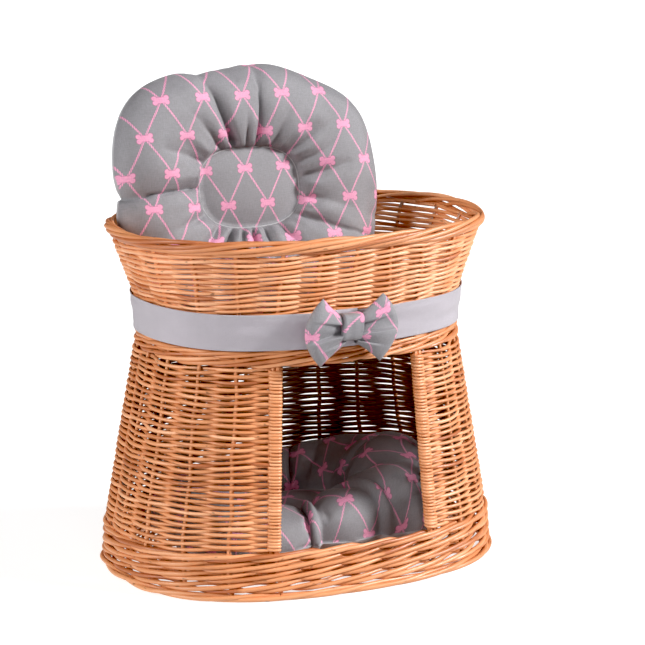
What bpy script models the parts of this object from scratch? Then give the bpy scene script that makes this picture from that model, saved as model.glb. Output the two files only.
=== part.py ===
"""Two-level oval wicker pet basket: a cave with a doorway below, an open bed above, two loose cushions.

Units are metres and +Z is up. X runs along the length, the doorway faces -Y, and the origin is on the
floor under the middle of the basket.
"""
import math
from functools import lru_cache

import bmesh
import bpy
import numpy as np
from mathutils import Vector

# ---------------------------------------------------------------- driving dimensions
OVAL_POWER = 2.4           # exponent of the plan outline, a superellipse
GAP = 0.0003               # clearance left between neighbouring pieces
UPPER_BEND = 0.360         # level where the upper side starts to flare

# Middle of the woven side, from the floor up: height, half length, half width.
SIDE_LEVELS = (
    (0.000, 0.2525, 0.1895),
    (0.060, 0.2515, 0.1750),
    (0.312, 0.2055, 0.1535),
    (UPPER_BEND, 0.2095, 0.1595),
    (0.450, 0.2440, 0.1740),
)
FOOT_TOP = 0.0105          # top of the border that the basket stands on
BASE_WALE_TOP = 0.060      # top of the thick band at the bottom, and sill of the doorway
WAIST_WALE_BOTTOM = 0.289  # lintel of the doorway
WAIST = 0.312              # narrowest level, where the two baskets meet
UPPER_WALL_TOP = 0.434
RIM_TOP = 0.454

WALL_HALF = 0.0045         # half thickness of the plain weave
BASE_WALE_HALF = 0.0070    # half thickness of the thick band at the bottom
WAIST_WALE_HALF = 0.0065
FOOT_HALF = 0.0075
RIM_HALF = 0.0080

DOOR_HALF_AT_SILL = 0.102
DOOR_HALF_AT_LINTEL = 0.0895
POST_RADIUS = 0.0080       # round binding of the door posts
ROD_END_CLEARANCE = 0.0018 # the square ends of leaning rods stay this far from the next band
STAKE_RADIUS = 0.0024
STAKE_FOOT = 0.0140
SIDE_STEPS = 20            # stake spacings from one door post round the back to the other
DOOR_STEPS = 4             # stake spacings across the doorway
STAKES = SIDE_STEPS + DOOR_STEPS
STAKE_TOP_BORE = 0.0040    # the bore goes on this far above the stake's top
DOOR_STAKE_BORE = 0.0100   # and this far below the stakes over the doorway

RIBBON_WIDTH = 0.0465
RIBBON_THICKNESS = 0.0012
RIBBON_BOTTOM = 0.3130

# Floors: underside height, thickness, radius of cross sticks, radius of long sticks.
BASE_FLOOR = (0.0150, 0.0120, 0.0038, 0.0024)
UPPER_FLOOR = (0.2955, 0.0110, 0.0034, 0.0021)
CROSS_STICKS = 5
LONG_STICKS = 2
CROSS_SPACING = 0.070
LONG_SPACING = 0.060
STICK_END_GAP = 0.0015     # between a stick's end and the edge of its floor
STICK_BORE_EXTRA = 0.0100  # the bore goes on this far past the stick's end

# Bow, lying on the ribbon over the doorway.
BOW_X = -0.0140            # the bow is tied a little to the left of the doorway's middle
BOW_HEIGHT = 0.336
BOW_HALF_SPAN = 0.067
BOW_OUTER_HALF = 0.046     # half height of a loop at its outer end
BOW_INNER_HALF = 0.014
BOW_DEPTH = 0.026
KNOT_SIZE = (0.028, 0.028, 0.037)
BOW_ROUNDING = 0.005       # radius of the edges of the loops and the knot
BOW_BACK = -0.1664         # the bow's back at its middle height, just in front of the ribbon
BOW_LEAN = 0.10            # the back leans out with the side, this much per unit of height

# Cushions: half length, half width, half thickness.
UPPER_CUSHION_HALF = (0.182, 0.167, 0.041)
UPPER_CUSHION_CENTRE = (-0.030, 0.082, 0.4715)
UPPER_CUSHION_LEAN = math.radians(12.0)
LOWER_CUSHION_HALF = (0.192, 0.138, 0.045)
LOWER_CUSHION_CENTRE = (0.0, 0.008, 0.0735)
CUSHION_OUTLINE_POWER = 3.2
CUSHION_EDGE_POWER = 2.2
CUSHION_TAPER = 0.10       # how much the cushion narrows at its lower edge
COVER_THICKNESS = 0.0012
SEAM_GAP = 0.0020          # between the edges of the two cover halves
FILLING_GAP = 0.0008
CUSHION_SEGMENTS = 20      # round its outline
CUSHION_RINGS = 8          # through its thickness

SHARP_ANGLE = math.radians(35.0)
WALK_STEPS = 400           # of the fine walk that measures round the oval

COLOURS = {
    "willow": ((0.62, 0.33, 0.13), 0.55),
    "willow_rod": ((0.58, 0.30, 0.12), 0.50),
    "ribbon_cloth": ((0.53, 0.49, 0.53), 0.75),
    "printed_cotton": ((0.34, 0.32, 0.33), 0.85),
    "fibre_filling": ((0.85, 0.85, 0.83), 0.95),
}


# ---------------------------------------------------------------- scene helpers
def clear_scene():
    for old in list(bpy.data.objects):
        bpy.data.objects.remove(old, do_unlink=True)


def new_collection(name):
    collection = bpy.data.collections.new(name)
    bpy.context.scene.collection.children.link(collection)
    return collection


def paint(obj, kind):
    """Give the object its own Principled material."""
    colour, roughness = COLOURS[kind]
    material = bpy.data.materials.new(f"{obj.name}_{kind}")
    material.use_nodes = True
    shader = material.node_tree.nodes["Principled BSDF"]
    shader.inputs["Base Color"].default_value = (*colour, 1.0)
    shader.inputs["Roughness"].default_value = roughness
    shader.inputs["Metallic"].default_value = 0.0
    obj.data.materials.clear()
    obj.data.materials.append(material)


def add_mesh(name, bm, kind=None, collection=None):
    bmesh.ops.recalc_face_normals(bm, faces=bm.faces)
    mesh = bpy.data.meshes.new(name)
    bm.to_mesh(mesh)
    bm.free()
    obj = bpy.data.objects.new(name, mesh)
    (collection or PARTS).objects.link(obj)
    if kind:
        paint(obj, kind)
        mesh.shade_smooth()
        mesh.set_sharp_from_angle(angle=SHARP_ANGLE)
    return obj


def hide_cutter(obj):
    obj.hide_render = True
    obj.display_type = "WIRE"
    return obj


def cut(obj, cutter):
    modifier = obj.modifiers.new(f"cut_{cutter.name}", "BOOLEAN")
    modifier.operation = "DIFFERENCE"
    modifier.solver = "EXACT"
    modifier.object = cutter


def tube(name, paths, radius, kind=None, collection=None):
    """Round rods along straight-sided paths, as one curve object."""
    curve = bpy.data.curves.new(name, "CURVE")
    curve.dimensions = "3D"
    curve.bevel_depth = radius
    curve.bevel_resolution = 2
    curve.use_fill_caps = True
    for path in paths:
        spline = curve.splines.new("POLY")
        spline.points.add(len(path) - 1)
        for point, place in zip(spline.points, path):
            point.co = (*place, 1.0)
    obj = bpy.data.objects.new(name, curve)
    (collection or PARTS).objects.link(obj)
    if kind:
        paint(obj, kind)
    return obj


def as_mesh(obj, kind=None):
    """Turn a curve object into a mesh object with welded caps, so that it can be cut or can cut."""
    bpy.context.view_layer.update()
    evaluated = obj.evaluated_get(bpy.context.evaluated_depsgraph_get())
    mesh = bpy.data.meshes.new_from_object(evaluated)
    bm = bmesh.new()
    bm.from_mesh(mesh)
    bmesh.ops.remove_doubles(bm, verts=bm.verts, dist=0.00001)
    bmesh.ops.recalc_face_normals(bm, faces=bm.faces)
    bm.to_mesh(mesh)
    bm.free()
    name = obj.name
    collection = obj.users_collection[0]
    matrix = obj.matrix_world.copy()
    bpy.data.objects.remove(obj, do_unlink=True)
    mesh_obj = bpy.data.objects.new(name, mesh)
    mesh_obj.matrix_world = matrix
    collection.objects.link(mesh_obj)
    if kind:
        paint(mesh_obj, kind)
    return mesh_obj


# ---------------------------------------------------------------- plan outline
def side_size(z):
    """Half length and half width of the middle of the woven side at a height."""
    heights, lengths, widths = zip(*SIDE_LEVELS)
    return float(np.interp(z, heights, lengths)), float(np.interp(z, heights, widths))


def oval_point(angle, half_length, half_width):
    c, s = math.cos(angle), math.sin(angle)
    power = 2.0 / OVAL_POWER
    x = math.copysign(abs(c) ** power, c) * half_length
    y = math.copysign(abs(s) ** power, s) * half_width
    return x, y


def door_post_x(z):
    heights = (BASE_WALE_TOP, WAIST_WALE_BOTTOM)
    halves = (DOOR_HALF_AT_SILL, DOOR_HALF_AT_LINTEL)
    return float(np.interp(z, heights, halves)) + POST_RADIUS


@lru_cache(maxsize=None)
def stake_angles(z):
    """Angles of a fine walk round the oval, and the stake number that each of them stands for."""
    half_length, half_width = side_size(z)
    lean = math.acos((door_post_x(z) / half_length) ** (OVAL_POWER / 2.0))
    right_post, left_post = -lean, math.pi + lean
    angles, numbers = [], []
    runs = ((right_post, left_post, 0, SIDE_STEPS),
            (left_post, right_post + 2.0 * math.pi, SIDE_STEPS, STAKES))
    for start, end, first, last in runs:
        walk = np.linspace(start, end, WALK_STEPS)
        points = np.array([oval_point(a, half_length, half_width) for a in walk])
        length = np.concatenate(([0.0], np.cumsum(np.linalg.norm(np.diff(points, axis=0), axis=1))))
        angles.append(walk)
        numbers.append(first + (last - first) * length / length[-1])
        if first == 0:
            spacing = length[-1] / SIDE_STEPS
    return np.concatenate(angles), np.concatenate(numbers), spacing


def side_point(z, station, offset=0.0):
    """A point on the side: station is a stake number and a distance on from it, offset is outward."""
    number, distance = station
    angles, numbers, spacing = stake_angles(z)
    angle = float(np.interp((number + distance / spacing) % STAKES, numbers, angles))
    half_length, half_width = side_size(z)
    x, y = oval_point(angle, half_length + offset, half_width + offset)
    return Vector((x, y, z))


def round_stations():
    """Stations all round, two in each stake spacing, so that a stake falls inside a facet."""
    return [(number + quarter, 0.0) for number in range(STAKES) for quarter in (0.25, 0.75)]


def wall_stations():
    """Stations of the lower wall, from one door post round the back to the other."""
    clear = POST_RADIUS + GAP
    inner = [(number + quarter, 0.0) for number in range(SIDE_STEPS) for quarter in (0.25, 0.75)]
    return [(0, clear)] + inner + [(SIDE_STEPS, -clear)]


def band(name, profile, stations, closed, kind="willow"):
    """Sweep a closed profile of (height, outward offset) points along the side."""
    bm = bmesh.new()
    loops = [[bm.verts.new(side_point(z, station, offset)) for z, offset in profile]
             for station in stations]
    pairs = list(zip(loops, loops[1:]))
    if closed:
        pairs.append((loops[-1], loops[0]))
    else:
        bm.faces.new(loops[0])
        bm.faces.new(loops[-1][::-1])
    for loop, following in pairs:
        for i in range(len(profile)):
            j = (i + 1) % len(profile)
            bm.faces.new((loop[i], following[i], following[j], loop[j]))
    return add_mesh(name, bm, kind)


def slab(low, high, half, levels=()):
    """Profile of a band of even thickness, with extra levels where the side bends."""
    heights = [low, *levels, high]
    return [(z, half) for z in heights] + [(z, -half) for z in reversed(heights)]


def rounded(low, high, half):
    """Eight-sided profile with a flat underside and a flat top."""
    rise, side = (high - low) * 0.3, half * 0.55
    return [(low, side), (low + rise, half), (high - rise, half), (high, side),
            (high, -side), (high - rise, -half), (low + rise, -half), (low, -side)]


# ---------------------------------------------------------------- stakes and woven bands
def stake_path(number, low, high):
    heights = [low] + [level[0] for level in SIDE_LEVELS if low < level[0] < high] + [high]
    return [side_point(z, (number, 0.0)) for z in heights]


def make_stakes():
    """Upright rods that the side is woven on; those over the doorway start at its lintel."""
    bores = []
    for number in range(STAKES):
        over_door = number > SIDE_STEPS
        low = WAIST_WALE_BOTTOM + GAP if over_door else STAKE_FOOT
        name = f"door_stake_{number - SIDE_STEPS}" if over_door else f"side_stake_{number + 1:02d}"
        top = UPPER_WALL_TOP - ROD_END_CLEARANCE
        tube(name, [stake_path(number, low, top)], STAKE_RADIUS, "willow_rod")
        below = DOOR_STAKE_BORE if over_door else GAP
        bores.append(stake_path(number, low - below, UPPER_WALL_TOP + STAKE_TOP_BORE))
    cutter = tube("stake_bores", bores, STAKE_RADIUS + GAP, collection=CUTTERS)
    return hide_cutter(as_mesh(cutter))


def make_side(stake_bores):
    band("foot_border", rounded(0.0, FOOT_TOP, FOOT_HALF), round_stations(), True)
    walls = [
        band("base_wale", slab(FOOT_TOP + GAP, BASE_WALE_TOP, BASE_WALE_HALF),
             round_stations(), True),
        band("lower_wall", slab(BASE_WALE_TOP + GAP, WAIST_WALE_BOTTOM - GAP, WALL_HALF),
             wall_stations(), False),
        band("waist_wale", slab(WAIST_WALE_BOTTOM, WAIST - GAP, WAIST_WALE_HALF),
             round_stations(), True),
        band("upper_wall", slab(WAIST, UPPER_WALL_TOP, WALL_HALF, levels=(UPPER_BEND,)),
             round_stations(), True),
    ]
    for wall in walls:
        cut(wall, stake_bores)
    band("rim_border", rounded(UPPER_WALL_TOP + GAP, RIM_TOP, RIM_HALF), round_stations(), True)
    for side, number in (("right", 0), ("left", SIDE_STEPS)):
        low, high = BASE_WALE_TOP + ROD_END_CLEARANCE, WAIST_WALE_BOTTOM - ROD_END_CLEARANCE
        post = tube(f"door_post_binding_{side}", [stake_path(number, low, high)], POST_RADIUS)
        cut(as_mesh(post, "willow"), stake_bores)


# ---------------------------------------------------------------- floors
def half_chord(z, offset, along_x, distance):
    """Half the inside span of the side at a height, at a distance from the middle line."""
    half_length, half_width = side_size(z)
    half_length, half_width = half_length + offset, half_width + offset
    if along_x:
        return half_length * (1.0 - (distance / half_width) ** OVAL_POWER) ** (1.0 / OVAL_POWER)
    return half_width * (1.0 - (distance / half_length) ** OVAL_POWER) ** (1.0 / OVAL_POWER)


def make_floor(name, dimensions, band_half):
    """Woven oval floor on cross sticks, which the long sticks pierce."""
    low, thickness, cross_radius, long_radius = dimensions
    top, middle = low + thickness, low + thickness / 2.0
    offset = -(band_half + 3.0 * GAP)

    def stick_paths(count, spacing, along_x, extra):
        paths = []
        for k in range(count):
            place = (k - (count - 1) / 2.0) * spacing
            reach = half_chord(top, offset, along_x, abs(place)) - STICK_END_GAP + extra
            ends = ((-reach, place), (reach, place)) if along_x else ((place, -reach), (place, reach))
            paths.append([Vector((x, y, middle)) for x, y in ends])
        return paths

    cross_bores = hide_cutter(as_mesh(tube(
        f"{name}_cross_bores", stick_paths(CROSS_STICKS, CROSS_SPACING, False, STICK_BORE_EXTRA),
        cross_radius + GAP, collection=CUTTERS)))
    long_bores = hide_cutter(as_mesh(tube(
        f"{name}_long_bores", stick_paths(LONG_STICKS, LONG_SPACING, True, STICK_BORE_EXTRA),
        long_radius + GAP, collection=CUTTERS)))

    outline = bpy.data.curves.new(f"{name}_weave", "CURVE")
    outline.dimensions = "2D"
    outline.fill_mode = "BOTH"
    outline.extrude = thickness / 2.0
    spline = outline.splines.new("POLY")
    points = [side_point(top, station, offset) for station in round_stations()]
    spline.points.add(len(points) - 1)
    for point, place in zip(spline.points, points):
        point.co = (place.x, place.y, 0.0, 1.0)
    spline.use_cyclic_u = True
    panel = bpy.data.objects.new(f"{name}_weave", outline)
    panel.location = (0.0, 0.0, middle)
    PARTS.objects.link(panel)
    panel = as_mesh(panel, "willow")
    cut(panel, cross_bores)
    cut(panel, long_bores)

    for k, path in enumerate(stick_paths(CROSS_STICKS, CROSS_SPACING, False, 0.0)):
        stick = as_mesh(tube(f"{name}_cross_stick_{k + 1}", [path], cross_radius), "willow_rod")
        cut(stick, long_bores)
    for k, path in enumerate(stick_paths(LONG_STICKS, LONG_SPACING, True, 0.0)):
        tube(f"{name}_long_stick_{k + 1}", [path], long_radius, "willow_rod")


# ---------------------------------------------------------------- ribbon and bow
def make_ribbon():
    inner = WALL_HALF + 2.0 * GAP
    outer = inner + RIBBON_THICKNESS
    low, high = RIBBON_BOTTOM, RIBBON_BOTTOM + RIBBON_WIDTH
    profile = [(low, outer), (high, outer), (high, inner), (low, inner)]
    band("waist_ribbon", profile, round_stations(), True, "ribbon_cloth")


def bevelled_block(name, corner, kind):
    """A cube whose corners are moved by a rule, then rounded."""
    bm = bmesh.new()
    bmesh.ops.create_cube(bm, size=2.0)
    for vert in bm.verts:
        vert.co = corner(vert.co)
    obj = add_mesh(name, bm, kind)
    bevel = obj.modifiers.new("rounding", "BEVEL")
    bevel.width = BOW_ROUNDING
    bevel.segments = 2
    return obj


def bow_y(z, depth):
    """Depth measured forward from the bow's leaning back."""
    return BOW_BACK - BOW_LEAN * (z - BOW_HEIGHT) - depth


def make_bow():
    """Two flat loops, held by a knot."""
    knot_half = KNOT_SIZE[0] / 2.0
    for name, side in (("bow_loop_right", 1.0), ("bow_loop_left", -1.0)):
        def corner(co, side=side):
            outside = co.x * side > 0.0
            x = BOW_X + side * (BOW_HALF_SPAN if outside else knot_half + GAP)
            half_height = BOW_OUTER_HALF if outside else BOW_INNER_HALF
            z = BOW_HEIGHT + co.z * half_height
            return Vector((x, bow_y(z, BOW_DEPTH * (0.5 - 0.5 * co.y)), z))
        bevelled_block(name, corner, "printed_cotton")

    def knot_corner(co):
        z = BOW_HEIGHT + co.z * KNOT_SIZE[2] / 2.0
        return Vector((BOW_X + co.x * knot_half, bow_y(z, KNOT_SIZE[1] * (0.5 - 0.5 * co.y)), z))
    bevelled_block("bow_knot", knot_corner, "printed_cotton")


# ---------------------------------------------------------------- cushions
def cushion_form(half_sizes, shrink, taper):
    """Pillow form from a sphere: its poles are on the thickness axis, local Z."""
    half_length, half_width, half_thickness = (size - shrink for size in half_sizes)
    outline, edge = 2.0 / CUSHION_OUTLINE_POWER, 2.0 / CUSHION_EDGE_POWER
    bm = bmesh.new()
    bmesh.ops.create_uvsphere(bm, u_segments=CUSHION_SEGMENTS, v_segments=CUSHION_RINGS, radius=1.0)
    for vert in bm.verts:
        around = math.hypot(vert.co.x, vert.co.y)
        reach = around ** edge
        c, s = (vert.co.x / around, vert.co.y / around) if around > 1e-6 else (0.0, 0.0)
        y = math.copysign(abs(s) ** outline, s) * reach
        x = math.copysign(abs(c) ** outline, c) * reach * (1.0 - taper * max(0.0, -y) ** 2)
        z = math.copysign(abs(vert.co.z) ** edge, vert.co.z)
        vert.co = (x * half_length, y * half_width, z * half_thickness)
    return bm


def make_cushion(name, half_sizes, centre, tilt, taper):
    """Two cover halves, sewn at the middle, round a loose filling."""
    holder = bpy.data.objects.new(f"{name}_origin", None)
    holder.location = centre
    holder.rotation_euler = (tilt, 0.0, 0.0)
    PARTS.objects.link(holder)
    for side, sign in (("front", 1.0), ("back", -1.0)):
        bm = cushion_form(half_sizes, 0.0, taper)
        other = [face for face in bm.faces if face.calc_center_median().z * sign < 0.0]
        bmesh.ops.delete(bm, geom=other, context="FACES")
        bmesh.ops.translate(bm, verts=bm.verts, vec=(0.0, 0.0, sign * SEAM_GAP / 2.0))
        mesh = bpy.data.meshes.new(f"{name}_cover_{side}")
        bm.to_mesh(mesh)
        bm.free()
        mesh.shade_smooth()
        cover = bpy.data.objects.new(f"{name}_cover_{side}", mesh)
        cover.parent = holder
        PARTS.objects.link(cover)
        paint(cover, "printed_cotton")
        skin = cover.modifiers.new("cloth", "SOLIDIFY")
        skin.thickness = COVER_THICKNESS
        skin.offset = -1.0
        skin.use_even_offset = True
    inside = COVER_THICKNESS + FILLING_GAP
    filling = add_mesh(f"{name}_filling", cushion_form(half_sizes, inside, taper), "fibre_filling")
    filling.parent = holder


# ---------------------------------------------------------------- build
clear_scene()
PARTS = new_collection("wicker_pet_basket")
CUTTERS = new_collection("cutters")
make_side(make_stakes())
make_floor("base", BASE_FLOOR, BASE_WALE_HALF)
make_floor("upper_floor", UPPER_FLOOR, WAIST_WALE_HALF)
make_ribbon()
make_bow()
make_cushion("upper_cushion", UPPER_CUSHION_HALF, UPPER_CUSHION_CENTRE,
             math.radians(90.0) - UPPER_CUSHION_LEAN, CUSHION_TAPER)
make_cushion("lower_cushion", LOWER_CUSHION_HALF, LOWER_CUSHION_CENTRE, 0.0, 0.0)
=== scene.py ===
"""Looks of the two-level wicker pet basket: willow, ribbon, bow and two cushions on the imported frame.

Units are metres, +Z is up and the doorway faces -Y. Heights and places come from the frame's own boxes.
The plan outline of the woven side repeats the frame's, because a mesh doesn't say what curve it follows.
"""

import math

import bpy
import numpy as np
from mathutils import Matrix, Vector


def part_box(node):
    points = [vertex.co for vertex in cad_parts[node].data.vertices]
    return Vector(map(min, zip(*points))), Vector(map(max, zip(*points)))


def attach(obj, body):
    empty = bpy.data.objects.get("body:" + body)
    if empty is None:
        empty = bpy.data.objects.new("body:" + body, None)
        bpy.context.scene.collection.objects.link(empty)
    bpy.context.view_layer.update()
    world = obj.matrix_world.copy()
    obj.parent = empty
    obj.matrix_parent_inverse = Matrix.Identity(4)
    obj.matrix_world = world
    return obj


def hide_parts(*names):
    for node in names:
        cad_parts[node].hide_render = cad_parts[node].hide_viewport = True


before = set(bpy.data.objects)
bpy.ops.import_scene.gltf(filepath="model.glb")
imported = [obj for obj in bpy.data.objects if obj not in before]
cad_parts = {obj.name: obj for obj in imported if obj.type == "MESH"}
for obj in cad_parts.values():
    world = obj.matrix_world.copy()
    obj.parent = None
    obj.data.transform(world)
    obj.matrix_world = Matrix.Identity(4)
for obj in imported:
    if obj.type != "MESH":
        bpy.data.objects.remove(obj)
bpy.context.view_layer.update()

RANDOM = np.random.default_rng(11)
TAU = 2.0 * math.pi
UP = np.array((0.0, 0.0, 1.0))

# ---------------------------------------------------------------- the woven side's outline
OVAL_POWER = 2.4
SIDE_LEVELS = np.array((      # height, half length, half width of the middle of the side
    (-0.020, 0.2530, 0.1900),
    (0.000, 0.2525, 0.1895),
    (0.060, 0.2515, 0.1750),
    (0.312, 0.2055, 0.1535),
    (0.360, 0.2095, 0.1595),
    (0.450, 0.2440, 0.1740),
    (0.480, 0.2555, 0.1790),
))
SIDE_STEPS, STAKES = 20, 24   # stake spacings round the back, and all round
DOOR_POST_HALF = np.array(((0.060, 0.1100), (0.289, 0.0975)))
BEND_SOFTNESS = 0.008


def low(node):
    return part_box(node)[0].z


def top(node):
    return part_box(node)[1].z


FOOT_TOP = top("foot_border")
SILL = top("base_wale")
LINTEL = low("waist_wale")
WAIST = top("waist_wale")
WALL_TOP = top("upper_wall")
RIM_TOP = top("rim_border")


def outline_table(heights, per_step=24):
    """Points of the side's middle surface and outward normals, for each height and stake number."""
    numbers = np.arange(STAKES * per_step) / per_step
    places, sizes = [], SIDE_LEVELS.T
    for z in heights:
        near = z + np.linspace(-BEND_SOFTNESS, BEND_SOFTNESS, 9)
        half_length = np.interp(near, sizes[0], sizes[1]).mean()
        half_width = np.interp(near, sizes[0], sizes[2]).mean()
        post = np.interp(z, *DOOR_POST_HALF.T)
        lean = math.acos((post / half_length) ** (OVAL_POWER / 2.0))
        angles, counts = [], []
        for start, end, first, last in ((-lean, math.pi + lean, 0, SIDE_STEPS),
                                        (math.pi + lean, TAU - lean, SIDE_STEPS, STAKES)):
            walk = np.linspace(start, end, 500)
            points = oval(walk, half_length, half_width)
            steps = np.linalg.norm(np.diff(points, axis=0), axis=1)
            length = np.concatenate(([0.0], np.cumsum(steps)))
            angles.append(walk)
            counts.append(first + (last - first) * length / length[-1])
        angle = np.interp(numbers, np.concatenate(counts), np.concatenate(angles))
        places.append(oval(angle, half_length, half_width))
    places = np.array(places)
    along = np.roll(places, -1, axis=1) - np.roll(places, 1, axis=1)
    along /= np.linalg.norm(along, axis=2, keepdims=True)
    return places, np.stack((along[..., 1], -along[..., 0]), axis=2)


def signed(value, power):
    """Power of a value's size, with the value's own sign."""
    return np.sign(value) * np.abs(value) ** power


def oval(angle, half_length, half_width):
    power = 2.0 / OVAL_POWER
    return np.stack((signed(np.cos(angle), power) * half_length,
                     signed(np.sin(angle), power) * half_width), axis=-1)


TABLE_HEIGHTS = np.linspace(-0.01, 0.47, 97)
TABLE_PLACES, TABLE_NORMALS = outline_table(TABLE_HEIGHTS)


def side_point(number, z, out=0.0):
    """Point of the side at a stake number and height, moved outward by out."""
    number, z, out = np.broadcast_arrays(np.asarray(number, float), z, out)
    rows, columns = TABLE_PLACES.shape[:2]
    row = np.clip((z - TABLE_HEIGHTS[0]) / (TABLE_HEIGHTS[1] - TABLE_HEIGHTS[0]), 0, rows - 1.001)
    column = (number % STAKES) * columns / STAKES
    i, j = row.astype(int), column.astype(int)
    fi, fj = (row - i)[:, None], (column - j)[:, None]
    j, following = j % columns, (j + 1) % columns

    def blend(table):
        here = table[i, j] * (1 - fj) + table[i, following] * fj
        above = table[i + 1, j] * (1 - fj) + table[i + 1, following] * fj
        return here * (1 - fi) + above * fi

    flat = blend(TABLE_PLACES) + blend(TABLE_NORMALS) * out[:, None]
    return np.column_stack((flat, z))


def spacing(z):
    """Distance between two stakes at a height."""
    points = side_point(np.linspace(0, SIDE_STEPS, 401), z)
    return np.linalg.norm(np.diff(points, axis=0), axis=1).sum() / SIDE_STEPS


# ---------------------------------------------------------------- mesh tools
def new_mesh_object(name, points, faces, smooth=True):
    """One object from an array of points and a list of arrays of faces."""
    loops = np.concatenate([f.ravel() for f in faces]).astype(np.int32)
    sizes = np.concatenate([np.full(len(f), f.shape[1]) for f in faces])
    starts = np.concatenate(([0], np.cumsum(sizes)[:-1])).astype(np.int32)
    mesh = bpy.data.meshes.new(name)
    mesh.vertices.add(len(points))
    mesh.vertices.foreach_set("co", np.asarray(points, np.float32).ravel())
    mesh.loops.add(len(loops))
    mesh.loops.foreach_set("vertex_index", loops)
    mesh.polygons.add(len(starts))
    mesh.polygons.foreach_set("loop_start", starts)
    mesh.polygons.foreach_set("use_smooth", np.full(len(starts), smooth))
    mesh.update(calc_edges=True)
    mesh.validate()
    obj = bpy.data.objects.new(name, mesh)
    bpy.context.scene.collection.objects.link(obj)
    return obj


def joined_quads(index):
    """Faces between the rows of a grid of point numbers whose columns go all the way round."""
    following = np.roll(index, -1, axis=1)
    return np.stack((index[:-1], index[1:], following[1:], following[:-1]), axis=2).reshape(-1, 4)


def add_attribute(obj, name, values):
    kind, key = ("FLOAT_VECTOR", "vector") if values.ndim == 2 else ("FLOAT", "value")
    attribute = obj.data.attributes.new(name, kind, "POINT")
    attribute.data.foreach_set(key, np.asarray(values, np.float32).ravel())


def piece(obj, material, body, replaced=()):
    obj.data.materials.append(material)
    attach(obj, body)
    if replaced:
        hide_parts(*replaced)
    return obj


class Rods:
    """Round rods, gathered into one mesh. Each has a tone, and coordinates for its grain."""

    def __init__(self, sides=8):
        self.sides = sides
        self.points, self.quads, self.caps, self.tones, self.grains = [], [], [], [], []
        self.count = 0

    def add(self, path, radius, across=UP, closed=False, tone=None):
        """across is a direction that the rod never runs along."""
        sides, length = self.sides, len(path)
        if closed:
            tangent = np.roll(path, -1, axis=0) - np.roll(path, 1, axis=0)
        else:
            tangent = np.gradient(path, axis=0)
        tangent /= np.linalg.norm(tangent, axis=1, keepdims=True)
        u = np.cross(across, tangent)
        u /= np.linalg.norm(u, axis=1, keepdims=True)
        v = np.cross(tangent, u)
        radius = np.broadcast_to(radius, length)[:, None]
        turn = np.arange(sides) * TAU / sides
        rings = [path + radius * (math.cos(a) * u + math.sin(a) * v) for a in turn]
        self.points.append(np.stack(rings, axis=1).reshape(-1, 3))
        index = self.count + np.arange(length * sides).reshape(length, sides)
        following = np.roll(index, -1, axis=0) if closed else index[1:]
        index = index if closed else index[:-1]
        self.quads.append(np.stack((index, np.roll(index, -1, axis=1), np.roll(following, -1, axis=1),
                                    following), axis=2).reshape(-1, 4))
        if not closed:
            self.caps.append(index[0][::-1][None])
            self.caps.append(following[-1][None])
        steps = np.linalg.norm(np.diff(path, axis=0), axis=1)
        along = np.concatenate(([0.0], np.cumsum(steps))) + RANDOM.uniform(0, 40)
        grain = [np.column_stack((along, radius[:, 0] * math.cos(a), radius[:, 0] * math.sin(a)))
                 for a in turn]
        self.grains.append(np.stack(grain, axis=1).reshape(-1, 3))
        tone = RANDOM.uniform() if tone is None else tone
        self.tones.append(np.repeat(np.broadcast_to(tone, length), sides))
        self.count += length * sides

    def piece(self, name, material, slot, replaced=()):
        faces = [np.concatenate(self.quads)]
        if self.caps:
            faces.append(np.concatenate(self.caps))
        obj = new_mesh_object(name, np.concatenate(self.points), faces)
        add_attribute(obj, "tone", np.concatenate(self.tones))
        add_attribute(obj, "grain", np.concatenate(self.grains))
        return piece(obj, material, "basket", replaced)


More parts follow.
